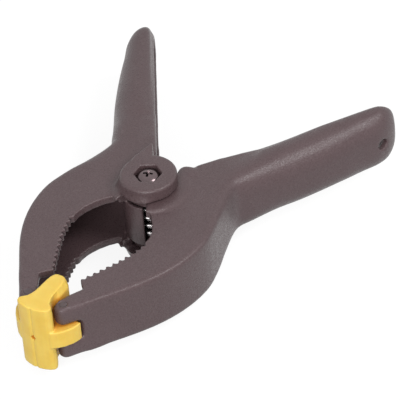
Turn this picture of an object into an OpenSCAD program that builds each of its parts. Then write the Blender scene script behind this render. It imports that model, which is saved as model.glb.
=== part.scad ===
// Spring clamp: two moulded lever halves on a sleeve pivot, closed by a torsion spring,
// with toothed jaw edges and swivelling V-grooved pads. Millimetres.
// +Z runs along the pivot and the jaws point to -X. The origin is on the pivot axis,
// on the flat lower end of the pivot boss. The left half lies on +Y, the right half on -Y.

/* [Jaws] */
// Pivot axis to the axis of each pad pin, along X
pin_reach = 63.5; // [60:0.5:72]
// Centre line to the axis of each pad pin
pin_w = 7; // [6.8:0.1:7.6]
// Half the thickness of the jaws
jaw_t = 10.9; // [10.6:0.1:11.5]
// Centre line to the outer edge beside the pin
tip_w = 10.8; // [10.4:0.1:11]
// Radius of the jaw tip round the pin
tip_r = 3.6; // [3.3:0.1:3.9]
// Pivot axis to the end of the straight outer edge, along X
belly_x = 47.8; // [46:0.2:50]
// Centre line to the outer edge at the end of its straight part
belly_w = 21.4; // [20:0.2:23]
// Pivot axis to the widest place of the jaw, along X
hip_x = 16.2; // [14:0.1:20]
// Centre line to the outer edge at its widest
hip_w = 32.3; // [31:0.1:36]
// Pivot axis to the widest place of the throat, along X
throat_x = 23; // [21:0.2:26]
// Centre line to the toothed edge at its widest
throat_w = 14.4; // [12.8:0.1:15.5]
// Pivot axis to the root of the throat, along X
root_x = 9.5; // [9:0.1:10.5]
// Centre line to the left half's edge at the root of the throat
left_root_w = 7.8; // [7:0.1:8.5]
// Centre line to the right half's edge at the root of the throat
right_root_w = 5.6; // [5.2:0.1:6.4]
// Centre line to the crest of the last tooth before the pad
last_tooth_w = 5.1; // [4.8:0.1:5.6]
// Teeth along each throat edge
teeth = 11; // [9:1:13]
// Depth of a tooth
tooth_depth = 1.5; // [1:0.1:1.7]

/* [Shell] */
// Thickness of the flanges of the jaws
flange_t = 3; // [2.5:0.1:3.2]
// Thickness of the outer wall
wall_t = 2.6; // [2:0.1:3]
// Radius of the long outer edges of the jaws
jaw_edge_r = 1.2; // [0.8:0.1:1.6]
// Radius of the arched back of the handles
handle_edge_r = 8; // [5:0.1:9]
// Radius of the inner edges of the handles
lip_r = 2.2; // [1:0.1:2.6]

/* [Handles] */
// Angle of each handle off the centre line
handle_angle = 33.5; // [32:0.5:35]
// Length of a handle along its inner edge
handle_len = 74.5; // [68:0.5:88]
// Pivot axis to the start of a handle's inner edge, along X
handle_x = 16.7; // [16:0.1:18]
// Centre line to the start of a handle's inner edge
handle_y = 7.8; // [7.6:0.1:8.4]
// Width of a handle at its root
handle_w = 15.6; // [14.5:0.1:17]
// Width of a handle where its rounded end starts
handle_end_w = 11; // [9:0.1:12]
// Length of the rounded outer corner at a handle's end
handle_end_l = 15; // [10:0.5:17]
// Radius of a handle's end, seen from its outer side
handle_end_r = 8; // [6:0.1:8.4]
// Half the thickness of a handle at its root, along the crown of its back
handle_back_t = 11.6; // [11:0.1:12.6]
// Half the thickness of a handle at its end, along the crown of its back
handle_end_t = 11.6; // [11:0.1:12.8]
// Half the thickness of a handle at its root, along the inner edge
handle_lip_t = 10.3; // [10:0.1:10.6]
// Half the thickness of a handle at its end, along the inner edge
end_lip_t = 8; // [7.6:0.1:9]
// Centre line to the hollow between jaw and handle
waist_w = 24.5; // [24:0.1:26]
// Pivot axis to the hollow between jaw and handle, along X
waist_x = 13.5; // [12:0.5:14.5]
// Diameter of the hang hole in each handle
hang_d = 4; // [3:0.2:5]
// Centre of the hang hole to the end of the handle
hang_inset = 8; // [7.5:0.5:14]

/* [Pivot] */
// Radius of the pivot bosses
boss_r = 10; // [9.8:0.1:10.8]
// Half the length over both bosses
boss_t = 16.9; // [16.4:0.1:17.6]
// Radius of the round edge of a boss
boss_edge_r = 1; // [0.5:0.1:1.4]
// Radius of the fillet at the foot of a boss
boss_foot_r = 1.7; // [1:0.1:2]
// Radius of the right half's ears
ear_r = 7.6; // [7:0.1:7.8]
// Half the distance over the right half's ears
ear_t = 11.7; // [11.5:0.1:12]
// Radius of the raised bearing disc round the right half's ears
disc_r = 14; // [12:0.5:14.5]
// Width across the flats of the nut's pocket
pocket_af = 8.5; // [8.3:0.1:9]
// Depth of the pocket
pocket_d = 2.9; // [2.8:0.1:3.4]
// Largest opening of the jaws in degrees
jaw_open = 40; // [30:1:40]

/* [Hardware] */
// Diameter of the screw's shank
screw_d = 5; // [4:0.1:5.2]
// Diameter of the screw's head
head_d = 8; // [7:0.1:8.2]
// Height of the screw's domed head
head_h = 2.7; // [2:0.1:2.8]
// Width across the flats of the nut
nut_af = 8; // [7:0.1:8.2]
// Height of the nut
nut_h = 2.7; // [2:0.1:2.8]
// Outer diameter of the pivot sleeve
sleeve_d = 8; // [7:0.1:8.4]
// Diameter of the pad pins
pin_d = 2.8; // [2.2:0.1:3]

/* [Spring] */
// Diameter of the spring wire
wire_d = 2; // [1.6:0.1:2.2]
// Radius of the coil to the middle of the wire
coil_r = 5.6; // [5.3:0.1:6]
// Rise of the coil in one turn
coil_pitch = 3.4; // [2.8:0.1:3.8]
// Whole turns of the coil
coil_turns = 3; // [2:1:3]
// Length of each leg of the spring
leg_len = 27.3; // [24:0.1:28]
// Angle of each leg off the centre line
leg_angle = 40; // [38:0.5:44]

/* [Pads] */
// Pad pin's axis to the front of the pad
pad_front = 9.2; // [8:0.1:10]
// Pad pin's axis to the rear end of the pad
pad_rear = 9.6; // [8.5:0.1:10]
// Thickness of the pad's plate
pad_t = 4.1; // [3.8:0.05:4.3]
// Width of the pad's front cap, from its gripping face
cap_w = 5.8; // [5.4:0.1:6.4]
// Depth of the pad's front cap
cap_l = 5; // [4.8:0.1:5.4]
// Half the height of a pad
pad_half_h = 13.2; // [12.6:0.1:14]
// Half the height of the pad's lug
lug_t = 3.4; // [3:0.1:3.8]
// Depth of the V groove in the gripping face
groove_d = 1; // [0.6:0.1:1.4]

/* [Fits] */
// Radial clearance of a pin, sleeve or screw that turns or slides
run_gap = 0.06; // [0.03:0.01:0.1]
// Clearance between faces that pass each other
pass_gap = 0.3; // [0.25:0.05:0.4]

/* [Hidden] */
$fn = 64;
plastic = [0.36, 0.32, 0.32];
pad_yellow = [0.97, 0.80, 0.25];
steel = [0.72, 0.72, 0.74];
spring_steel = [0.55, 0.55, 0.57];

mid_z = boss_t;
cavity_t = jaw_t - flange_t;
plate_t = ear_t + pass_gap;
pocket_floor = boss_t - pocket_d;
eps = 0.01;

// Cubic curve from point a to point b that leaves along da and arrives along db
function bend(a, da, b, db, t) =
    a * (2 * t * t * t - 3 * t * t + 1) + da * (t * t * t - 2 * t * t + t)
    + b * (3 * t * t - 2 * t * t * t) + db * (t * t * t - t * t);
function mix(a, b, t) = a + (b - a) * min(1, max(0, t));
function turned(p, a) = [p.x * cos(a) - p.y * sin(a), p.x * sin(a) + p.y * cos(a)];

// Where the rear corner of a pad goes when the jaws stand fully open
pad_swing = turned([pad_rear, pad_t - pin_w], jaw_open / 2);
notch = [-pin_reach + pad_swing.x - 0.6, pin_w + pad_swing.y + 1.2];
last_tooth = [notch.x + 3.8, last_tooth_w];
seat_w = pad_t + pass_gap;
seat_end = [-pin_reach + 1.3, seat_w];
slot_floor = -pin_reach + 2.8;

// Outer edge of the jaw, from the tip to the hip and on to the waist
tip_slope = (belly_w - tip_w) / (pin_reach - belly_x);
function tip_line(x) = [x, tip_w + (x + pin_reach) * tip_slope];
belly = [-belly_x, belly_w];
hip = [-hip_x, hip_w];
waist = [waist_x, waist_w];
belly_run = 1.15 * (belly_x - hip_x);
hip_run = hip_x + waist_x;
function belly_curve(t) =
    bend(belly, 0.8 * belly_run * [1, tip_slope], hip, [belly_run, 0], t);
function hip_curve(t) = bend(hip, [hip_run, 0], waist, [hip_run, 0], t);

// Toothed inner edge of the jaw and the edge at the root of the throat
throat = [-throat_x, throat_w];
throat_run = -last_tooth.x - throat_x;
function throat_curve(t) =
    bend(last_tooth, throat_run * [1, 0.45], throat, [throat_run, 0], t);
function root_curve(root_w, t) =
    bend(throat, [throat_x - root_x, 0], [-root_x, root_w], [9, -10], t);

// A handle runs along u, and v points to its outer wall
handle_u = [cos(handle_angle), sin(handle_angle)];
handle_v = [-sin(handle_angle), cos(handle_angle)];
handle_root = [handle_x, handle_y];
function on_handle(s, w) = handle_root + s * handle_u + w * handle_v;
grip_start = 12;
corner_start = handle_len - handle_end_l;
end_tip_w = 1.4;
function grip_w(s) =
    handle_w - (handle_w - handle_end_w) * pow(max(0, s - grip_start) / (corner_start - grip_start), 2.1);
function rounding(s, start, l) = s <= start ? 0 : 1 - sqrt(max(0, 1 - pow((s - start) / l, 2)));
function outer_w(s) =
    grip_w(min(s, corner_start)) - (handle_end_w - end_tip_w) * rounding(s, corner_start, handle_end_l);
function waist_curve(t) =
    bend(waist, [grip_start * 0.9, 0], on_handle(grip_start, outer_w(grip_start)), grip_start * handle_u, t);

// Stations along a half. Each joins a point of the inner edge to one of the outer edge, and
// carries the half thickness at both, and the radii of both edges.
end_round_start = handle_len - handle_end_r;
function back_t(s) = mix(handle_back_t, handle_end_t, s / end_round_start);
function lip_t(s) = mix(handle_lip_t, end_lip_t, s / end_round_start);
function station(inner, outer, grip) =
    [inner, outer, mix(jaw_t, handle_lip_t, grip), mix(jaw_t, handle_back_t, grip),
     mix(0.3, lip_r, grip), mix(jaw_edge_r, handle_edge_r, grip)];
function grip_station(s, grip) =
    [on_handle(s, 0), on_handle(s, outer_w(s)), mix(jaw_t, lip_t(s), grip), mix(jaw_t, back_t(s), grip),
     mix(0.3, lip_r, grip), mix(jaw_edge_r, handle_edge_r, grip)];
function end_station(s) =
    let (w = outer_w(s), drop = handle_end_r * rounding(s, end_round_start, handle_end_r))
    let (edge_t = end_lip_t - 0.75 * drop, crown_t = handle_end_t - drop)
    [on_handle(s, 0), on_handle(s, w), edge_t, crown_t,
     min(lip_r, 0.3 * w), min(handle_edge_r, 0.8 * crown_t)];
belly_steps = 8;
root_steps = 4;
grip_steps = 9;
end_steps = 8;
function stations(root_w) = concat(
    [station([-pin_reach - tip_r - 1, seat_w], tip_line(-pin_reach - tip_r - 1), 0)],
    [station(seat_end, tip_line(seat_end.x), 0)],
    [station(notch, tip_line(notch.x - 1), 0)],
    [for (i = [0:belly_steps])
        station(throat_curve(i / belly_steps), belly_curve(i / belly_steps), 0)],
    [for (i = [1:root_steps])
        station(root_curve(root_w, i / root_steps), hip_curve(i / root_steps * 0.55), 0.1 * i / root_steps)],
    [for (i = [1:root_steps])
        station(mix([-root_x, root_w], handle_root, i / root_steps),
            hip_curve(0.55 + 0.45 * i / root_steps), 0.1 + 0.2 * i / root_steps)],
    [for (i = [1:3])
        station(on_handle(grip_start * i / 4, 0), waist_curve(i / 4), 0.3 + 0.3 * i / 4)],
    [for (i = [0:grip_steps])
        grip_station(grip_start + (end_round_start - 2 - grip_start) * i / grip_steps,
            0.6 + 0.4 * min(1, i / 2))],
    [for (i = [1:end_steps])
        end_station(end_round_start + handle_end_r * sin(90 * i / end_steps))]
);

// Points of one station's closed section: four rounded corners. A straight line runs from the
// inner corner to the arch of the back and meets it as a tangent
inner_steps = 3;
corner_steps = 6;
function section(st) =
    let (across = (st[1] - st[0]) / norm(st[1] - st[0]), l = norm(st[1] - st[0]))
    let (outer_r = min(st[5], 0.6 * l))
    let (inner_c = [st[4], st[2] - st[4]], outer_c = [l - outer_r, st[3] - st[5]])
    let (to_inner = [(st[4] - outer_c.x) * st[5] / outer_r, st[2] - outer_c.y])
    let (crown = 90 - atan2(to_inner.y, to_inner.x) + acos(min(1, st[5] / norm(to_inner))))
    let (lean = atan(tan(-crown) * st[5] / outer_r))
    let (top = concat(
        [for (i = [0:inner_steps])
            let (a = (90 - lean) * i / inner_steps)
            inner_c + st[4] * [-cos(a), sin(a)]],
        [for (i = [0:corner_steps])
            let (a = crown + (90 - crown) * i / corner_steps)
            outer_c + [outer_r * sin(a), st[5] * cos(a)]]))
    let (n = len(top))
    [for (i = [0:2 * n - 1])
        let (q = i < n ? top[i] : [top[2 * n - 1 - i].x, -top[2 * n - 1 - i].y])
        [st[0].x + across.x * q.x, st[0].y + across.y * q.x, q.y]];

// Solid between the sections, closed at both ends
module skin(rings) {
    n = len(rings[0]);
    last = (len(rings) - 1) * n;
    faces = concat(
        [[for (i = [0:n - 1]) n - 1 - i]],
        [[for (i = [0:n - 1]) last + i]],
        [for (k = [0:len(rings) - 2], i = [0:n - 1])
            [k * n + i, k * n + (i + 1) % n, (k + 1) * n + i]],
        [for (k = [0:len(rings) - 2], i = [0:n - 1])
            [k * n + (i + 1) % n, (k + 1) * n + (i + 1) % n, (k + 1) * n + i]]
    );
    polyhedron([for (r = rings) each r], faces, convexity = 6);
}

// Channel between the flanges, wall_t inside the outer edge and open on the inner side
function inset(sts, k) =
    let (run = sts[k + 1][1] - sts[k - 1][1])
    sts[k][1] + wall_t * [run.y, -run.x] / norm(run);
function beyond(st) = st[0] - 3 * (st[1] - st[0]) / norm(st[1] - st[0]);
function upright(mouth, rim, t) =
    [[mouth.x, mouth.y, -t], [mouth.x, mouth.y, t], [rim.x, rim.y, t], [rim.x, rim.y, -t]];
channel_first = 3;
module channel(sts) {
    front = slot_floor + wall_t;
    front_rim = tip_line(front) - [0, wall_t * sqrt(1 + tip_slope * tip_slope)];
    skin(concat(
        [upright([front, last_tooth.y - 3], front_rim, cavity_t)],
        [for (k = [channel_first:len(sts) - end_steps + 2])
            upright(beyond(sts[k]), inset(sts, k), sts[k][2] - flange_t)]
    ));
}

// V cuts between the tooth crests, from the throat's widest place to the last tooth
tooth_span = 0.93;
module tooth_cuts() {
    crests = [for (i = [0:teeth]) throat_curve(tooth_span * i / teeth)];
    for (i = [0:teeth - 1]) {
        along = crests[i + 1] - crests[i];
        out = [along.y, -along.x] / norm(along);
        middle = (crests[i] + crests[i + 1]) / 2;
        linear_extrude(2 * jaw_t + 2, center = true)
            polygon([crests[i] + 0.2 * out, middle - tooth_depth * out, crests[i + 1] + 0.2 * out,
                middle + 3 * out]);
    }
}

// Rounded jaw tip, the slot for the pad's lug and the bore for the pad's pin
module tip_cuts() {
    translate([-pin_reach, pin_w])
        difference() {
            translate([-2 * tip_r - 4, -2 * tip_r, -jaw_t - 1])
                cube([2 * tip_r + 4, 4 * tip_r, 2 * jaw_t + 2]);
            cylinder(h = 2 * jaw_t + 4, r = tip_r, center = true);
        }
    slot_t = lug_t + pass_gap;
    translate([slot_floor - 20, 0, -slot_t])
        cube([20, tip_w + 10, 2 * slot_t]);
    translate([-pin_reach, pin_w])
        cylinder(h = 2 * jaw_t + 2, d = pin_d, center = true);
}

// Bore square to the outer wall near the end of a handle
module hang_cut() {
    s = handle_len - hang_inset;
    bend_back = atan((outer_w(s - 1) - outer_w(s + 1)) / 2);
    outside = 2;
    translate(on_handle(s, outer_w(s)))
        rotate([0, 0, handle_angle - bend_back])
            rotate([90, 0, 0])
                translate([0, 0, -outside])
                    cylinder(h = wall_t + 2 * outside, d = hang_d);
}

// Moulded lever shared by both halves, drawn for the left side about the middle plane
module lever(root_w) {
    sts = stations(root_w);
    difference() {
        skin([for (st = sts) section(st)]);
        channel(sts);
        tooth_cuts();
        tip_cuts();
        hang_cut();
    }
}

// One boss of the left half: a disc with a round edge
module boss() {
    h = boss_t - plate_t;
    translate([0, 0, plate_t])
        rotate_extrude()
            union() {
                square([boss_r - boss_edge_r, h]);
                square([boss_r, h - boss_edge_r]);
                translate([boss_r - boss_edge_r, h - boss_edge_r])
                    circle(boss_edge_r);
            }
}

// Wall that carries a boss on the flange, with a fillet along its foot towards the jaw
wall_from = 18;
foot_from = 62;
foot_to = 150;
bite = 0.5;
foot_z = cavity_t + bite;
boss_wall_r = boss_r - 0.05;
module boss_wall() {
    sector(wall_from, foot_from)
        wall_profile();
    sector(foot_from, foot_to) {
        wall_profile();
        fillet_profile();
    }
}

module sector(from, to) {
    rotate([0, 0, from])
        rotate_extrude(angle = to - from)
            children();
}

module wall_profile() {
    translate([ear_r - 1, foot_z])
        square([boss_wall_r - ear_r + 1, plate_t + bite - foot_z]);
}

module fillet_profile() {
    centre = [boss_wall_r + boss_foot_r - 0.02, jaw_t + boss_foot_r - 0.02];
    difference() {
        translate([boss_wall_r - 1, foot_z])
            square([boss_foot_r + 1, centre.y - foot_z]);
        translate(centre)
            circle(boss_foot_r);
    }
}

// The shoulder fills the corner between the boss and the root of the handle
shoulder_tip = handle_root - [2, 0.3];
module shoulder() {
    reach = norm(shoulder_tip);
    side = acos(boss_r / reach);
    aim = atan2(shoulder_tip.y, shoulder_tip.x);
    meet = (boss_r - 0.1) * [cos(aim + side), sin(aim + side)];
    back = shoulder_tip - 6 * handle_u;
    translate([0, 0, foot_z + bite])
        linear_extrude(boss_t - foot_z - bite)
            polygon([shoulder_tip, meet, 0.85 * meet, back]);
}

// Room for the right half's ear, which turns between flange and boss
module ear_room() {
    cylinder(h = boss_t + 1, r = ear_r + pass_gap);
}

// Bore and hexagonal pocket of one boss
module boss_cuts() {
    cylinder(h = boss_t + 1, d = screw_d + 2 * run_gap);
    translate([0, 0, pocket_floor])
        cylinder(h = pocket_d + 1, d = pocket_af / cos(30), $fn = 6);
}

// Curved guard between the spring and the throat
guard_from = 100;
guard_to = 197;
guard_t = 1.3;
guard_r = ear_r + pass_gap + 0.1;
module guard() {
    rotate([0, 0, guard_from])
        rotate_extrude(angle = guard_to - guard_from)
            translate([guard_r, -foot_z])
                square([guard_t, 2 * foot_z]);
}

module both_sides() {
    children();
    mirror([0, 0, 1])
        children();
}

module left_half() {
    color(plastic)
        translate([0, 0, mid_z])
            difference() {
                union() {
                    difference() {
                        union() {
                            lever(left_root_w);
                            both_sides()
                                boss_wall();
                        }
                        both_sides()
                            ear_room();
                    }
                    both_sides() {
                        boss();
                        shoulder();
                    }
                    guard();
                }
                both_sides()
                    boss_cuts();
            }
}

// Bearing disc and ear of the right half, drawn for the left side like its lever
disc_from = 28;
disc_to = 152;
ear_low = cavity_t - 0.3;
module ear() {
    translate([0, 0, ear_low])
        cylinder(h = ear_t - ear_low, r = ear_r);
    rotate([0, 0, disc_from])
        rotate_extrude(angle = disc_to - disc_from)
            translate([ear_r - 1.5, foot_z])
                square([disc_r - ear_r + 1.5, ear_t - foot_z]);
}

module right_half() {
    color(plastic)
        translate([0, 0, mid_z])
            mirror([0, 1, 0])
                difference() {
                    union() {
                        lever(right_root_w);
                        both_sides()
                            ear();
                    }
                    cylinder(h = 2 * ear_t + 2, d = sleeve_d + 2 * run_gap, center = true);
                }
}

// Pad drawn for the left jaw, about the middle plane, with its gripping face on y = 0
cap_r = 1.2;
module pad() {
    front = -pin_reach - pad_front;
    rear = -pin_reach + pad_rear;
    difference() {
        union() {
            difference() {
                linear_extrude(2 * pad_half_h, center = true)
                    union() {
                        translate([front, 0])
                            square([rear - front, pad_t]);
                        translate([front, 0])
                            square([cap_l, cap_w - cap_r]);
                        translate([front + cap_r, 0])
                            square([cap_l - cap_r, cap_w]);
                        translate([front + cap_r, cap_w - cap_r])
                            circle(cap_r);
                    }
                translate([-pin_reach, pin_w])
                    cylinder(h = 2 * pad_half_h + 2, r = tip_r + pass_gap, center = true);
            }
            lug();
        }
        both_sides()
            pad_bevels(front, rear);
        groove(front, rear);
        translate([-pin_reach, pin_w])
            cylinder(h = 2 * pad_half_h, d = pin_d + 2 * run_gap, center = true);
    }
}

// Bevels along the back and the ends of a pad, above and below the jaw
bevel_w = 1.4;
module pad_bevels(front, rear) {
    h = pad_half_h - jaw_t + 0.3;
    lean = atan(bevel_w / h);
    translate([front - 1, pad_t, pad_half_h - h])
        rotate([lean, 0, 0])
            cube([rear - front + 2, 10, 10]);
    translate([rear, -1, pad_half_h - h])
        rotate([0, -lean, 0])
            cube([10, 12, 10]);
    translate([front, -1, pad_half_h - h])
        rotate([0, lean, 0])
            translate([-10, 0, 0])
                cube([10, 12, 10]);
}

// Lug between the two prongs of the jaw tip, flush with the jaw's outer edge
module lug() {
    proud = 0.8;
    back = -pin_reach + 1.7;
    nose = -pin_reach - pad_front + cap_l;
    linear_extrude(2 * lug_t, center = true)
        polygon([[nose - 3, pad_t - 1], [nose - 3, cap_w - 0.2], [nose - 1, cap_w + 1.4],
            tip_line(-pin_reach - 1) + [0, proud], tip_line(back) + [0, 0.2], [back, pad_t - 1]]);
}

module groove(front, rear) {
    translate([front - 1, 0, 0])
        rotate([0, 90, 0])
            linear_extrude(rear - front + 2)
                polygon([[-groove_d, 0], [0, groove_d], [groove_d, 0], [0, -groove_d]]);
}

module left_pad() {
    color(pad_yellow)
        translate([0, 0, mid_z])
            pad();
}

module right_pad() {
    color(pad_yellow)
        translate([0, 0, mid_z])
            mirror([0, 1, 0])
                pad();
}

pin_sink = 0.2;
module pad_pin(side) {
    color(steel)
        translate([-pin_reach, side * pin_w, mid_z])
            cylinder(h = 2 * (jaw_t - pin_sink), d = pin_d, center = true);
}

module left_pad_pin() {
    pad_pin(1);
}

module right_pad_pin() {
    pad_pin(-1);
}

// Route of the spring: leg, coil wound clockwise going up, leg
leg_start = 90 + leg_angle;
coil_sweep = 360 * coil_turns + 360 - 2 * leg_start;
coil_rise = coil_pitch * coil_sweep / 360;
coil_rings = ceil(coil_sweep / 45);
function coil_point(t) =
    let (a = -leg_start - coil_sweep * t)
    [coil_r * cos(a), coil_r * sin(a), coil_rise * (t - 0.5)];
leg_steps = 5;
function leg(side, t) =
    coil_point(side < 0 ? 0 : 1) + leg_len * t * [cos(leg_angle), side * sin(leg_angle), 0];
spring_path = concat(
    [for (i = [leg_steps:-1:1]) leg(-1, i / leg_steps)],
    [for (i = [0:coil_rings]) coil_point(i / coil_rings)],
    [for (i = [1:leg_steps]) leg(1, i / leg_steps)]
);

// Least distance between the skins of two runs of wire, a turn or more apart
far = 6;
run_gaps = [for (i = [0:len(spring_path) - 1], j = [i + far:1:len(spring_path) - 1])
    norm(spring_path[i] - spring_path[j]) - wire_d];
echo(spring_gap_to_itself = min(run_gaps));

// Tube of six sides along the route. Its side faces keep to the vertical.
module tube(path, d) {
    sides = 6;
    n = len(path);
    rings = [for (k = [0:n - 1])
        let (ahead = path[min(n - 1, k + 1)] - path[max(0, k - 1)])
        let (along = ahead / norm(ahead))
        let (flat = cross(along, [0, 0, 1]))
        let (side = flat / norm(flat))
        let (up = cross(side, along))
        [for (i = [0:sides - 1])
            path[k] + d / 2 * (cos(60 * i) * side + sin(60 * i) * up)]];
    skin(rings);
}

module torsion_spring() {
    color(spring_steel)
        translate([0, 0, mid_z])
            tube(spring_path, wire_d);
}

module pivot_sleeve() {
    color(steel)
        translate([0, 0, mid_z])
            difference() {
                cylinder(h = 2 * plate_t, d = sleeve_d, center = true);
                cylinder(h = 2 * plate_t + 2, d = screw_d + 2 * run_gap, center = true);
            }
}

// Pan head screw, head up, with its domed head flush with the top boss
module pivot_screw() {
    dome_h = 1.2;
    head_r = head_d / 2;
    dome_r = (head_r * head_r + dome_h * dome_h) / (2 * dome_h);
    tail = pocket_floor + nut_h;
    color(steel)
        translate([0, 0, mid_z]) {
            translate([0, 0, -tail])
                cylinder(h = tail + pocket_floor + eps, d = screw_d);
            translate([0, 0, pocket_floor])
                intersection() {
                    cylinder(h = head_h, d = head_d);
                    translate([0, 0, head_h - dome_r])
                        sphere(dome_r);
                }
        }
}

module pivot_nut() {
    color(steel)
        translate([0, 0, mid_z - pocket_floor - nut_h])
            difference() {
                cylinder(h = nut_h, d = nut_af / cos(30), $fn = 6);
                translate([0, 0, -1])
                    cylinder(h = nut_h + 2, d = screw_d);
            }
}

left_half();
right_half();
left_pad();
right_pad();
left_pad_pin();
right_pad_pin();
torsion_spring();
pivot_sleeve();
pivot_screw();
pivot_nut();
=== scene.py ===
"""Looks of the spring clamp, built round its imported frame. Metres, in the frame of the CAD model:
+Z runs along the pivot, the jaws point to -X, and the left half lies on +Y."""

import math

import bmesh
import bpy
import numpy as np
from mathutils import Matrix, Vector


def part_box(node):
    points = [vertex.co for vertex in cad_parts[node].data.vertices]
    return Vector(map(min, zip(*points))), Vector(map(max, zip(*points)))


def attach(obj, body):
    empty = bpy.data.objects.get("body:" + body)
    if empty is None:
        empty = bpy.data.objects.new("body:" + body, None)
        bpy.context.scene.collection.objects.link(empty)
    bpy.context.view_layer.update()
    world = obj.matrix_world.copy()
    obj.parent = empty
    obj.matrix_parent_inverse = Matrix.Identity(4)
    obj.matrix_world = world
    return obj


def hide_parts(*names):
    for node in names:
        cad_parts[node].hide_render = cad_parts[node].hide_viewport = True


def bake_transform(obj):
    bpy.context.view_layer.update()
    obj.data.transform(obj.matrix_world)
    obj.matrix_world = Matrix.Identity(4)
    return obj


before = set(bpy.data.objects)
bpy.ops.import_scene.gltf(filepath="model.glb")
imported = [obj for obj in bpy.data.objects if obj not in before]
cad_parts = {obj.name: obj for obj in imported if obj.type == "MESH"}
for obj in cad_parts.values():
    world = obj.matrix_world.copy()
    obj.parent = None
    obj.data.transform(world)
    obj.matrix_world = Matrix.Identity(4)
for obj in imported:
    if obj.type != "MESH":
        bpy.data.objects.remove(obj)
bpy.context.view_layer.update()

MM = 0.001
FULL_TURN = 2 * math.pi
boss_low, boss_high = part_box("left_half")
MID_Z = (boss_low[2] + boss_high[2]) / 2      # height of the plane in which the clamp is symmetrical
MID_MM = MID_Z / MM


# ---------------------------------------------------------------- camera

def place_camera():
    """Camera at the photograph's viewing angle. The focal length and the place in the image are in
    pixels of its 400 pixel frame."""
    image, focal = 400, 3974.65
    sensor, near = 36, 0.01       # the first in millimetres
    elevation, roll, turn = (math.radians(a) for a in (40.334, -5.242, 54.483))
    pivot_at = (151.6, 210.5)     # where the pivot's middle falls
    pixel = 0.341 * MM            # what a pixel measures there
    ahead = Vector((0, math.cos(elevation), -math.sin(elevation)))
    across = Vector((1, 0, 0))
    above = Vector((0, math.sin(elevation), math.cos(elevation)))
    right = math.cos(roll) * across + math.sin(roll) * above
    up = math.cos(roll) * above - math.sin(roll) * across
    eye = -(pivot_at[0] - image / 2) * right - (image / 2 - pivot_at[1]) * up - focal * ahead
    back = Matrix.Rotation(-turn, 3, "Z")
    eye, right, up, ahead = (back @ v for v in (eye, right, up, ahead))
    data = bpy.data.cameras.new("camera")
    data.sensor_width = sensor
    data.lens = sensor * focal / image
    data.clip_start = near
    camera = bpy.data.objects.new("camera", data)
    bpy.context.scene.collection.objects.link(camera)
    axes = Matrix((right, up, -ahead)).transposed().to_4x4()
    camera.matrix_world = Matrix.Translation(eye * pixel + Vector((0, 0, MID_Z))) @ axes
    bpy.context.scene.camera = camera


# ---------------------------------------------------------------- materials

class Nodes:
    """Small helper that writes the node tree of a material or a world.
    An input takes either a value or the socket of another node."""

    def __init__(self, owner):
        owner.use_nodes = True
        self.owner = owner
        self.tree = owner.node_tree

    def add(self, kind, inputs=None, **settings):
        node = self.tree.nodes.new(kind)
        for key, value in settings.items():
            setattr(node, key, value)
        for key, value in (inputs or {}).items():
            self.put(value, node.inputs[key])
        return node

    def put(self, value, socket):
        if isinstance(value, bpy.types.NodeSocket):
            self.tree.links.new(value, socket)
        else:
            socket.default_value = value

    def noise(self, size, detail, rough=0.5):
        """Noise whose blobs are about size across, in metres."""
        place = self.add("ShaderNodeTexCoord").outputs["Object"]
        return self.add("ShaderNodeTexNoise", {
            "Vector": place, "Scale": 1 / size, "Detail": detail, "Roughness": rough}).outputs["Fac"]

    def ramp(self, value, low, high, to_low, to_high):
        """The value's range from low to high, stretched to another one and held at its ends."""
        return self.add("ShaderNodeMapRange", {
            "Value": value, "From Min": low, "From Max": high,
            "To Min": to_low, "To Max": to_high}).outputs["Result"]

    def blend(self, factor, a, b):
        """Colour a where the factor is 0, and b where it is 1."""
        node = self.add("ShaderNodeMix", data_type="RGBA")
        factor_in, a_in, b_in, colour_out = 0, 6, 7, 2
        for value, index in ((factor, factor_in), (a, a_in), (b, b_in)):
            self.put(value, node.inputs[index])
        return node.outputs[colour_out]

    def math(self, operation, a, b):
        node = self.add("ShaderNodeMath", operation=operation)
        self.put(a, node.inputs[0])
        self.put(b, node.inputs[1])
        return node.outputs[0]

    def bump(self, height, distance, strength):
        return self.add("ShaderNodeBump", {
            "Height": height, "Distance": distance, "Strength": strength}).outputs["Normal"]

    def hollow(self, distance):
        """1 in the open, and less in hollows of about that distance."""
        return self.add("ShaderNodeAmbientOcclusion", {"Distance": distance}, samples=8).outputs["AO"]

    def finish(self, **sockets):
        """Sets a material's surface, with underscores for the blanks in the sockets' names."""
        shader = self.tree.nodes["Principled BSDF"]
        for key, value in sockets.items():
            self.put(value, shader.inputs[key.replace("_", " ")])
        return self.owner


def new_material(name):
    return Nodes(bpy.data.materials.new(name))


def colour(red, green, blue):
    """Linear colour of a screen colour in 0 to 255."""
    return tuple((c / 255 / 12.92) if c < 11 else ((c / 255 + 0.055) / 1.055) ** 2.4
                 for c in (red, green, blue)) + (1.0,)


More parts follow.
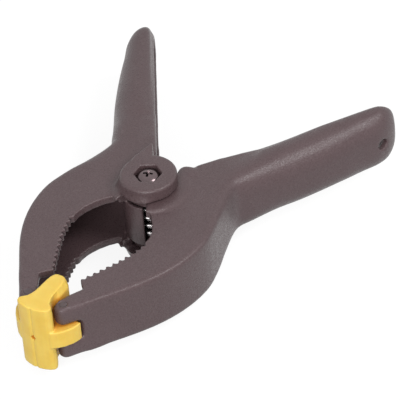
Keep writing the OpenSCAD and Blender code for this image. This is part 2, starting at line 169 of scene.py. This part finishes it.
def nylon():
    """Brown glass-filled nylon with a fine spark-eroded grain, paler edges that are partly wear and partly a
    painted highlight, and painted shade in its hollows.
    """
    m = new_material("brown_nylon")
    cloud = m.noise(size=14 * MM, detail=2)
    speck = m.noise(size=0.5 * MM, detail=3, rough=0.65)
    gloss = m.noise(size=0.7 * MM, detail=2)
    edge = m.add("ShaderNodeNewGeometry").outputs["Pointiness"]
    hollow = m.hollow(distance=20 * MM)
    base = m.blend(m.ramp(cloud, low=0.35, high=0.65, to_low=0, to_high=1),
                   colour(75, 58, 60), colour(79, 62, 64))
    base = m.blend(m.ramp(speck, low=0.35, high=0.65, to_low=0, to_high=0.8), base, colour(94, 78, 80))
    # Paler convex edges: partly wear, partly a painted highlight along the edges.
    base = m.blend(m.ramp(edge, low=0.53, high=0.60, to_low=0, to_high=0.3), base, colour(108, 94, 96))
    # Painted shade: the colour darkens towards colour(62, 46, 47) in hollows, where shade falls.
    base = m.blend(m.ramp(hollow, low=0.3, high=0.7, to_low=0.3, to_high=0), base, colour(62, 46, 47))
    return m.finish(Base_Color=base, Normal=m.bump(speck, distance=0.13 * MM, strength=0.9),
                    Roughness=m.ramp(gloss, low=0.35, high=0.65, to_low=0.46, to_high=0.26),
                    Specular_IOR_Level=0.42)


def pad_plastic():
    """Smooth yellow plastic, with the orange that light takes on in its hollows."""
    m = new_material("yellow_pad")
    cloud = m.noise(size=5 * MM, detail=2)
    ripple = m.noise(size=0.9 * MM, detail=2)
    gloss = m.noise(size=2 * MM, detail=2)
    hollow = m.hollow(distance=5 * MM)
    base = m.blend(m.ramp(cloud, low=0.35, high=0.65, to_low=0, to_high=1),
                   colour(230, 192, 82), colour(235, 201, 94))
    # Painted shade: an orange tint painted into the colour of the hollows.
    base = m.blend(m.ramp(hollow, low=0.25, high=0.8, to_low=0.75, to_high=0), base, colour(226, 134, 30))
    return m.finish(Base_Color=base, Normal=m.bump(ripple, distance=0.04 * MM, strength=0.35),
                    Roughness=m.ramp(gloss, low=0.3, high=0.7, to_low=0.4, to_high=0.5),
                    Specular_IOR_Level=0.5,
                    Subsurface_Weight=0.12, Subsurface_Scale=1.5 * MM, Subsurface_Radius=(1.0, 0.5, 0.15))


def steel(name, shade, rough, grain_size):
    """Bare or plated steel with a fine worked grain and darker tarnish."""
    tarnished, smoother, rougher = 0.72, 0.06, 0.08
    m = new_material(name)
    grain = m.noise(size=grain_size, detail=3, rough=0.6)
    tarnish = m.noise(size=2.5 * MM, detail=3)
    darker = tuple(tarnished * c for c in shade)
    base = m.blend(m.ramp(tarnish, low=0.35, high=0.7, to_low=0, to_high=1), shade + (1.0,), darker + (1.0,))
    roughness = m.ramp(grain, low=0.3, high=0.7, to_low=rough - smoother, to_high=rough + rougher)
    return m.finish(Base_Color=base, Metallic=1.0, Roughness=roughness,
                    Normal=m.bump(grain, distance=0.02 * MM, strength=0.4))


# ---------------------------------------------------------------- meshes

def stand(name, data):
    """New object of the scene."""
    thing = bpy.data.objects.new(name, data)
    bpy.context.scene.collection.objects.link(thing)
    return thing


def new_piece(name, mesh, material, body, slot, *replaced):
    """A piece that replaces CAD nodes. One without a body is attached to no lever."""
    piece = stand(name, mesh)
    mesh.materials.clear()
    mesh.materials.append(material)
    for face in mesh.polygons:
        face.use_smooth = True
    if body:
        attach(piece, body)
    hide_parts(*replaced)
    return piece


def closed(name, form):
    """Mesh of a bmesh, with its faces turned outwards."""
    bmesh.ops.recalc_face_normals(form, faces=form.faces)
    data = bpy.data.meshes.new(name)
    form.to_mesh(data)
    form.free()
    return data


def angles(count):
    """Angles of that many points round a circle."""
    return [FULL_TURN * i / count for i in range(count)]


def skin(name, levels):
    """Closed form through outlines with the same number of points, with a flat face at each end."""
    form = bmesh.new()
    rings = [[form.verts.new(point) for point in level] for level in levels]
    count = len(rings[0])
    for low, high in zip(rings, rings[1:]):
        for i in range(count):
            j = (i + 1) % count
            form.faces.new((low[i], low[j], high[j], high[i]))
    form.faces.new(rings[0][::-1])
    form.faces.new(rings[-1])
    return closed(name, form)


def loft(name, levels):
    """The same from outlines in millimetres."""
    return skin(name, [[Vector(p) * MM for p in level] for level in levels])


def column(name, centre, radius, sides, half):
    """Upright cylinder about the middle plane, in millimetres."""
    ring = [(centre[0] + radius * math.cos(a), centre[1] + radius * math.sin(a)) for a in angles(sides)]
    return loft(name, [[(x, y, MID_MM + z) for x, y in ring] for z in (-half, half)])


def lathe(name, profile, sides=64, wave=None):
    """Closed turned form from (radius, z) points, the first and the last on the axis.
    wave(angle, z) may add to a radius."""
    form = bmesh.new()
    rings = []
    for r, z in profile:
        if r == 0:
            rings.append([form.verts.new((0, 0, z))] * sides)
        else:
            spread = [(r + (wave(a, z) if wave else 0), a) for a in angles(sides)]
            rings.append([form.verts.new((q * math.cos(a), q * math.sin(a), z)) for q, a in spread])
    for low, high in zip(rings, rings[1:]):
        for i in range(sides):
            j = (i + 1) % sides
            corners = []
            for v in (low[i], low[j], high[j], high[i]):
                if v not in corners:
                    corners.append(v)
            form.faces.new(corners)
    return closed(name, form)


def frustum(name, top, low, z_top, z_low):
    """Tapered block with (x, y) half sizes at its top and its low end."""
    corners = [(x * w, y * d, z) for (w, d), z in ((low, z_low), (top, z_top))
               for x, y in ((-1, -1), (1, -1), (1, 1), (-1, 1))]
    faces = [(0, 3, 2, 1), (4, 5, 6, 7)] + [(i, (i + 1) % 4, 4 + (i + 1) % 4, 4 + i) for i in range(4)]
    data = bpy.data.meshes.new(name)
    data.from_pydata(corners, [], faces)
    return data


def evaluated(work, *helpers):
    """Mesh of an object after its modifiers. The object and its helpers go."""
    graph = bpy.context.evaluated_depsgraph_get()
    result = bpy.data.meshes.new_from_object(work.evaluated_get(graph))
    for thing in (work, *helpers):
        bpy.data.objects.remove(thing)
    return result


def remeshed(mesh, voxel):
    """Mesh rebuilt as one even skin, from cubes of that size."""
    work = stand("work", mesh)
    step = work.modifiers.new("remesh", "REMESH")
    step.mode = "VOXEL"
    step.voxel_size = voxel
    return evaluated(work)


def thinned(mesh, share=0.5):
    """Mesh with only that share of its faces, where they say least."""
    work = stand("work", mesh)
    work.modifiers.new("decimate", "DECIMATE").ratio = share
    return evaluated(work)


def carve(mesh, *cuts):
    """Mesh after exact booleans, each an (operation, mesh) pair."""
    work = stand("work", mesh)
    helpers = []
    for operation, cutter in cuts:
        helpers.append(stand("cutter", cutter))
        step = work.modifiers.new("cut", "BOOLEAN")
        step.operation = operation
        step.solver = "EXACT"
        step.object = helpers[-1]
    return evaluated(work, *helpers)


def get_points(mesh):
    """Places of a mesh's vertices, one row each."""
    points = np.empty(len(mesh.vertices) * 3)
    mesh.vertices.foreach_get("co", points)
    return points.reshape(-1, 3)


def set_points(mesh, points):
    mesh.vertices.foreach_set("co", points.ravel())
    mesh.update()


def soften(mesh, rounds, share=None):
    """Laplacian smoothing. share gives each vertex its part of every round, from 0 to 1."""
    step = 0.5
    points = get_points(mesh)
    count = len(points)
    ends = np.empty(len(mesh.edges) * 2, dtype=np.int32)
    mesh.edges.foreach_get("vertices", ends)
    a, b = ends[0::2], ends[1::2]
    degree = np.maximum(np.bincount(a, minlength=count) + np.bincount(b, minlength=count), 1)[:, None]
    part = step if share is None else step * share[:, None]
    for _ in range(rounds):
        total = np.empty_like(points)
        for axis in range(3):
            total[:, axis] = np.bincount(a, points[b, axis], count) + np.bincount(b, points[a, axis], count)
        points = points + part * (total / degree - points)
    set_points(mesh, points)


def fade(value, start, end):
    """From 0 at the start to 1 at the end, smoothly."""
    t = np.clip((value - start) / (end - start), 0, 1)
    return t * t * (3 - 2 * t)


# ---------------------------------------------------------------- lever halves

# All in millimetres, for the left half: the outer edge in plan, the handle's root and slope,
# how far along the handle its hang hole lies, and the pin that the pad turns on
OUTER_X = [-68, -47.8, -35, -25, -16.2, -5, 5, 13.5, 20]
OUTER_Y = [9.8, 21.4, 28, 31.3, 32.3, 30.5, 26.5, 24.5, 26]
HANDLE_ROOT, HANDLE_ANGLE = (16.7, 7.8), math.radians(33.5)
HANG_HOLE = 66.5
PAD_PIN = (-63.5, 7.0)

# Extra width of the neck between jaw and handle: along the handle, and outwards
NECK_S = [-9, -6, -3, 0, 2, 4.7, 8.8, 14, 18]
NECK_W = [0, 0.5, 1.3, 2.2, 2.3, 1.7, 0.6, 0.3, 0]
NECK_FROM_TO = (5, 13)            # how far out from the handle's line it starts, and is all there

# Rounds of smoothing for the outer edges, the handle's growth, the prongs and the pivot's foot
SOFT_ROUNDS = (24, 120, 30, 30)


def along_handle(x, y):
    """Place along the handle of the left half and outwards from its line."""
    x, y = x - HANDLE_ROOT[0], y - HANDLE_ROOT[1]
    return (x * math.cos(HANDLE_ANGLE) + y * math.sin(HANDLE_ANGLE),
            y * math.cos(HANDLE_ANGLE) - x * math.sin(HANDLE_ANGLE))


def soft_shares(mesh, left):
    """How much of each round of smoothing a half's vertices take: its outer edges and handle,
    the growth of the handle out of the jaw, the prongs at the tip, and the foot of the pivot.
    The places between which each share comes and goes are in millimetres, or degrees for turn."""
    x, y, z = (get_points(mesh) / MM).T
    y = y if left else -y
    z = z - MID_MM
    s, w = along_handle(x, y)
    reach = np.hypot(x, y)
    off_pivot = fade(reach, 16, 20)

    wall_inside, wall_full = 6, 4             # from the outer edge inwards
    rim = np.interp(x, OUTER_X, OUTER_Y)
    jaw = fade(y, rim - wall_inside, rim - wall_full) * fade(x, -57, -53)
    handle = fade(s, 4, 10) * fade(w, 1.5, 4)
    near_hole = (1 - fade(np.hypot(s - HANG_HOLE, z), 3.2, 4.5)) * fade(w, 2, 4)
    outer = np.maximum(jaw, handle) * off_pivot * (1 - near_hole)

    growth = fade(s, -6, 2) * (1 - fade(s, 24, 34)) * fade(w, 3, 7) * off_pivot

    pin = np.hypot(x - PAD_PIN[0], y - PAD_PIN[1])
    prong = (1 - fade(x, -62, -59)) * fade(pin, 2, 2.8)

    high = fade(np.abs(z), 9.6, 10.4)
    if left:
        turn = np.degrees(np.arctan2(y, x))
        foot = fade(reach, 8.8, 9.6) * (1 - fade(reach, 15, 18)) * fade(turn, 55, 75)
        foot = foot * fade(-np.abs(turn), -200, -150) * high * fade(x, -11, -8)
    else:
        foot = fade(reach, 10.4, 11) * (1 - fade(reach, 17, 20)) * high * fade(x, -9, -7)
    return outer, growth, prong, foot


def flare_boss(mesh):
    """Widens the foot of the left half's boss where it stands on its own jaw plate."""
    grow = 1.7
    boss_r, plate, top, out = 10.0, 10.9, 16.4, 17.0     # plate and top are heights from the middle plane
    first, first_full, last_full, last = 95, 125, 205, 228      # degrees round the pivot
    points = get_points(mesh) / MM
    x, y, z = points.T
    z = np.abs(z - MID_MM)
    reach = np.maximum(np.hypot(x, y), 1e-6)
    turn = np.degrees(np.arctan2(y, x)) % 360
    part = (fade(turn, first, first_full) * (1 - fade(turn, last_full, last))
            * fade(z, plate - 1.2, plate - 0.4))
    height = np.clip((top - z) / (top - plate), 0, 1) ** 2
    inside = fade(reach, boss_r - 1.2, boss_r - 0.2)
    beyond = np.clip((out - reach) / (out - boss_r), 0, 1)
    points[:, :2] *= (1 + part * grow * height * inside * beyond / reach)[:, None]
    set_points(mesh, points * MM)


def fill_neck(mesh, side):
    """Moves the outer wall between jaw and handle outwards, for a fuller neck."""
    points = get_points(mesh) / MM
    s, w = along_handle(points[:, 0], points[:, 1] * side)
    move = np.interp(s, NECK_S, NECK_W) * fade(w, *NECK_FROM_TO)
    points[:, 0] -= move * math.sin(HANDLE_ANGLE)
    points[:, 1] += move * math.cos(HANDLE_ANGLE) * side
    set_points(mesh, points * MM)


def moulded_half(name, node, material, body):
    """A lever half with the round edges that moulding leaves, and a handle that grows out of the jaw.
    The right half has a round shoulder where its ear meets the handle."""
    voxel, stairs_off = 0.4 * MM, 2
    left = node == "left_half"
    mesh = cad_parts[node].data.copy()
    if not left:
        shoulder = column("shoulder", centre=(12.2, -7.2), radius=3.1, sides=48, half=11.5)
        mesh = carve(mesh, ("UNION", shoulder))
    mesh = remeshed(mesh, voxel)
    soften(mesh, stairs_off)
    if left:
        flare_boss(mesh)
    fill_neck(mesh, 1 if left else -1)
    for rounds, share in zip(SOFT_ROUNDS, soft_shares(mesh, left)):
        soften(mesh, rounds, share)
    return new_piece(name, thinned(mesh), material, body, "brown_nylon", node)


# ---------------------------------------------------------------- pads

# Plan of a pad in millimetres, for the left side: x, y beside the jaw, and y at its upper and lower end
PAD_PLAN = [(-72.2, -1, -1), (-72.4, 0.2, 0.2), (-72.7, 0.6, 0.6), (-72.6, 1.6, 1.6), (-72.2, 3.4, 3.4),
            (-71.6, 5.1, 5.1), (-70.7, 6.2, 6.2), (-69.6, 6.5, 6.4), (-68.6, 6.2, 5.9), (-67.9, 5.4, 5.1),
            (-67.3, 4.6, 4.4), (-66.2, 4.1, 3.9), (-64.9, 3.4, 3.5), (-63.5, 3.1, 3.3), (-62.1, 3.4, 3.2),
            (-60.8, 4.1, 3.1), (-58, 4.1, 2.9), (-55.6, 3.9, 2.5), (-54.3, 3.1, 1.8), (-53.9, 1.5, 0.9),
            (-53.9, -1, -1)]
LUG_PLAN = [(-71.2, 3), (-71.3, 6.1), (-70, 8.0), (-68, 9.8), (-65.6, 11.3), (-63.4, 12.0), (-61.8, 12.15),
            (-61.8, 3)]
PAD_ENDS = (-75, -52)                                   # x just past both ends of a pad
OTHER_PLAN = [(-80, 0), (-80, 9), (-45, 9), (-45, 0)]   # all that lies past the plane where the pads meet
OTHER_Z = (-5, 40)


def moulded_pad(name, node, side, material, body):
    """A pad with a nose, a tapered plate and a curved lug, its V groove and its pin's bore.
    It is cut off sharply in the plane where the two pads meet."""
    voxel, rounds, sharp = 0.2 * MM, 8, math.radians(40)
    lug_half, groove, bevel, bore_r = 3.4, 1.0, 2.6, 1.46
    low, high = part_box(node)
    half = (high[2] - low[2]) / 2 / MM

    def level(z, thin):
        """Outline at a height, with the plan of the pad's ends where thin is 1."""
        return [(x, side * (y + thin * (y_end - y)), MID_MM + z) for x, y, y_end in PAD_PLAN]

    plate = loft("pad", [level(z, thin) for z, thin in
                         ((-half, 1), (bevel - half, 0), (half - bevel, 0), (half, 1))])
    lug = loft("lug", [[(x, side * y, MID_MM + z) for x, y in LUG_PLAN] for z in (-lug_half, lug_half)])
    diamond = [(0, groove), (groove, 0), (0, -groove), (-groove, 0)]
    channel = loft("groove", [[(x, y, MID_MM + z) for y, z in diamond] for x in PAD_ENDS])
    bore = column("bore", centre=(PAD_PIN[0], side * PAD_PIN[1]), radius=bore_r, sides=32, half=half)
    mesh = carve(plate, ("UNION", lug), ("DIFFERENCE", channel), ("DIFFERENCE", bore))
    mesh = remeshed(mesh, voxel)
    soften(mesh, rounds)
    other_side = loft("other side", [[(x, -side * y, z) for x, y in OTHER_PLAN] for z in OTHER_Z])
    mesh = carve(thinned(mesh), ("DIFFERENCE", other_side))
    piece = new_piece(name, mesh, material, body, "yellow_pad", node)
    mesh.set_sharp_from_angle(angle=sharp)
    return piece


# ---------------------------------------------------------------- spring

def tube_mesh(name, path, radius, sides=16):
    """Closed tube along a list of points, a little thinner at its two ends."""
    end_share = 0.8
    levels = []
    last = len(path) - 1
    for k, point in enumerate(path):
        along = (path[min(last, k + 1)] - path[max(0, k - 1)]).normalized()
        side = along.cross(Vector((0, 0, 1))).normalized()
        lift = side.cross(along)
        r = radius * (end_share if k in (0, last) else 1)
        levels.append([point + r * (math.cos(a) * side + math.sin(a) * lift) for a in angles(sides)])
    return skin(name, levels)


def spring_path():
    """Route of the spring: lower leg, coil wound clockwise going up, upper leg."""
    coil_r, pitch, turns = 5.6 * MM, 3.4 * MM, 3
    leg_len, leg_angle = 27.3 * MM, math.radians(40)
    leg_steps, coil_steps, rounded_end = 24, 160, 0.35 * MM
    start = math.pi / 2 + leg_angle
    sweep = FULL_TURN * turns + FULL_TURN - 2 * start
    rise = pitch * sweep / FULL_TURN

    def coil(t):
        a = -start - sweep * t
        return Vector((coil_r * math.cos(a), coil_r * math.sin(a), MID_Z + rise * (t - 0.5)))

    def leg(side, s):
        foot = coil(0 if side < 0 else 1)
        return foot + s * Vector((math.cos(leg_angle), side * math.sin(leg_angle), 0))

    reach = [leg_len * i / leg_steps for i in range(1, leg_steps)] + [leg_len - rounded_end, leg_len]
    route = [leg(-1, s) for s in reversed(reach)]
    route += [coil(i / coil_steps) for i in range(coil_steps + 1)]
    return route + [leg(1, s) for s in reach]


def make_spring(material):
    """The whole wire, as one piece attached to neither lever."""
    route = spring_path()
    mesh = tube_mesh("torsion_spring", route, radius=1.0 * MM)
    piece = new_piece("spring_wire", mesh, material, None, "spring_steel", "torsion_spring")
    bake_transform(piece)
    return piece


# ---------------------------------------------------------------- screw and nut

def make_screw(material):
    """Pan head screw with a cross recess, a rolled thread and a chamfered tail."""
    low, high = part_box("pivot_screw")
    shank_r, head_r, head_h, rim_h, rim_edge = 2.5 * MM, 4.0 * MM, 2.7 * MM, 0.9 * MM, 0.25 * MM
    thread_h, pitch, depth, chamfer = 6 * MM, 0.8 * MM, 0.28 * MM, 0.4 * MM
    thread_steps, dome_steps, sides = 64, 12, 64
    recess_turn, sharp = math.radians(20), math.radians(35)
    seat = high[2] - head_h
    threaded = thread_h - chamfer
    profile = [(0, low[2]), (shank_r - chamfer, low[2])]
    profile += [(shank_r, low[2] + chamfer + threaded * i / thread_steps) for i in range(thread_steps + 1)]
    profile += [(shank_r, seat), (head_r - rim_edge, seat), (head_r, seat + rim_edge),
                (head_r, seat + rim_h)]
    dome = head_h - rim_h
    profile += [(head_r * math.cos(a), seat + rim_h + dome * math.sin(a))
                for a in (math.pi / 2 * i / dome_steps for i in range(1, dome_steps))]
    profile.append((0, high[2]))

    def thread(angle, z):
        """What the thread takes off the radius, as it runs out at both ends."""
        run = z - low[2] - chamfer
        if run < 0 or run > threaded:
            return 0
        phase = (run / pitch - angle / FULL_TURN) % 1
        return -depth * abs(2 * phase - 1) * min(1, run / pitch, (threaded - run) / pitch)

    body = lathe("pivot_screw", profile, sides, thread)
    floor_z, mouth_z = high[2] - 1.9 * MM, high[2] + 0.4 * MM
    wide, narrow, at_floor = 2.0 * MM, 0.44 * MM, (0.8 * MM, 0.28 * MM)
    slots = [frustum("recess", (wide, narrow), at_floor, mouth_z, floor_z),
             frustum("recess", (narrow, wide), at_floor[::-1], mouth_z, floor_z)]
    for slot_mesh in slots:
        slot_mesh.transform(Matrix.Rotation(recess_turn, 4, "Z"))
    mesh = carve(body, *(("DIFFERENCE", slot_mesh) for slot_mesh in slots))
    piece = new_piece("cross_recess_screw", mesh, material, "left_lever", "plated_steel", "pivot_screw")
    mesh.set_sharp_from_angle(angle=sharp)
    return piece


def make_nut(material):
    """Hexagon nut with chamfered corners and a countersunk bore."""
    low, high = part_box("pivot_nut")
    half_flat, bore_r, sink = 4.0 * MM, 2.52 * MM, 0.35 * MM
    lift, margin, past, slope = 0.45 * MM, 0.1 * MM, 1 * MM, 3.5
    sharp = math.radians(30)
    corner = half_flat / math.cos(math.pi / 6)
    across = corner - margin
    narrow, flat = across - slope * lift, half_flat - margin
    mouth = bore_r + 2 * sink
    hexagon = lathe("pivot_nut", [(0, low[2]), (corner, low[2]), (corner, high[2]), (0, high[2])], sides=6)
    barrel = lathe("barrel", [
        (0, low[2] - past), (narrow, low[2] - past), (flat, low[2]), (across, low[2] + lift),
        (across, high[2] - lift), (flat, high[2]), (narrow, high[2] + past), (0, high[2] + past)])
    bore = lathe("bore", [
        (0, low[2] - sink), (mouth, low[2] - sink), (bore_r, low[2] + sink),
        (bore_r, high[2] - sink), (mouth, high[2] + sink), (0, high[2] + sink)])
    mesh = carve(hexagon, ("INTERSECT", barrel), ("DIFFERENCE", bore))
    piece = new_piece("chamfered_nut", mesh, material, "left_lever", "plated_steel", "pivot_nut")
    mesh.set_sharp_from_angle(angle=sharp)
    return piece


# ---------------------------------------------------------------- stage and light

def seen_straight(m):
    """1 for rays that show the floor or the world themselves, and 0 for the light they give."""
    path = m.add("ShaderNodeLightPath").outputs
    return m.math("MAXIMUM", m.math("MAXIMUM", path["Is Camera Ray"], path["Is Glossy Ray"]),
                  path["Is Transmission Ray"])


def make_stage():
    """Pale floor that keeps a faint shadow, in a plain white room."""
    side, z, grey, glow, room_light = 3.0, 0.0, 0.16, 0.89, 0.45
    corners = [(-side, -side, z), (side, -side, z), (side, side, z), (-side, side, z)]
    mesh = bpy.data.meshes.new("floor")
    mesh.from_pydata(corners, [], [(0, 1, 2, 3)])
    floor = stand("floor", mesh)
    m = new_material("pale_floor")
    mesh.materials.append(m.finish(
        Base_Color=(grey, grey, grey, 1), Roughness=0.9, Specular_IOR_Level=0.1,
        Emission_Color=(1, 1, 1, 1), Emission_Strength=m.math("MULTIPLY", seen_straight(m), glow)))
    world = bpy.data.worlds.new("studio")
    bpy.context.scene.world = world
    w = Nodes(world)
    background = w.tree.nodes["Background"]
    background.inputs["Color"].default_value = (1, 1, 1, 1)
    strength = w.ramp(seen_straight(w), low=0, high=1, to_low=room_light, to_high=1)
    w.put(strength, background.inputs["Strength"])


def softbox(name, place, size, power):
    """Round soft lamp that looks at the middle of the clamp."""
    target = (0.01, 0, 0.015)
    data = bpy.data.lights.new(name, "AREA")
    data.shape = "DISK"
    data.size = size
    data.energy = power
    lamp = stand(name, data)
    lamp.location = place
    lamp.rotation_euler = (Vector(target) - Vector(place)).to_track_quat("-Z", "Y").to_euler()


place_camera()
make_stage()
softbox("key", place=(0.15, -0.62, 0.80), size=0.45, power=4.6)
softbox("fill", place=(-0.82, -0.34, 0.46), size=0.5, power=6.6)

brown = nylon()
yellow = pad_plastic()
spring_steel = steel("spring_steel", (0.34, 0.32, 0.32), rough=0.26, grain_size=0.3 * MM)
pin_steel = steel("pin_steel", (0.15, 0.12, 0.125), rough=0.45, grain_size=0.3 * MM)
plated = steel("plated_steel", (0.17, 0.13, 0.135), rough=0.2, grain_size=0.25 * MM)

moulded_half("left_lever_moulding", "left_half", brown, "left_lever")
moulded_half("right_lever_moulding", "right_half", brown, "right_lever")
moulded_pad("left_pad_moulding", "left_pad", 1, yellow, "left_jaw_pad")
moulded_pad("right_pad_moulding", "right_pad", -1, yellow, "right_jaw_pad")
make_spring(spring_steel)
make_screw(plated)
make_nut(plated)

# CAD nodes whose shape is right keep it, and get a better material
for node, material in (("left_pad_pin", pin_steel), ("right_pad_pin", pin_steel), ("pivot_sleeve", plated)):
    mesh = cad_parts[node].data
    mesh.materials.clear()
    mesh.materials.append(material)

bpy.context.scene.view_settings.view_transform = "Standard"
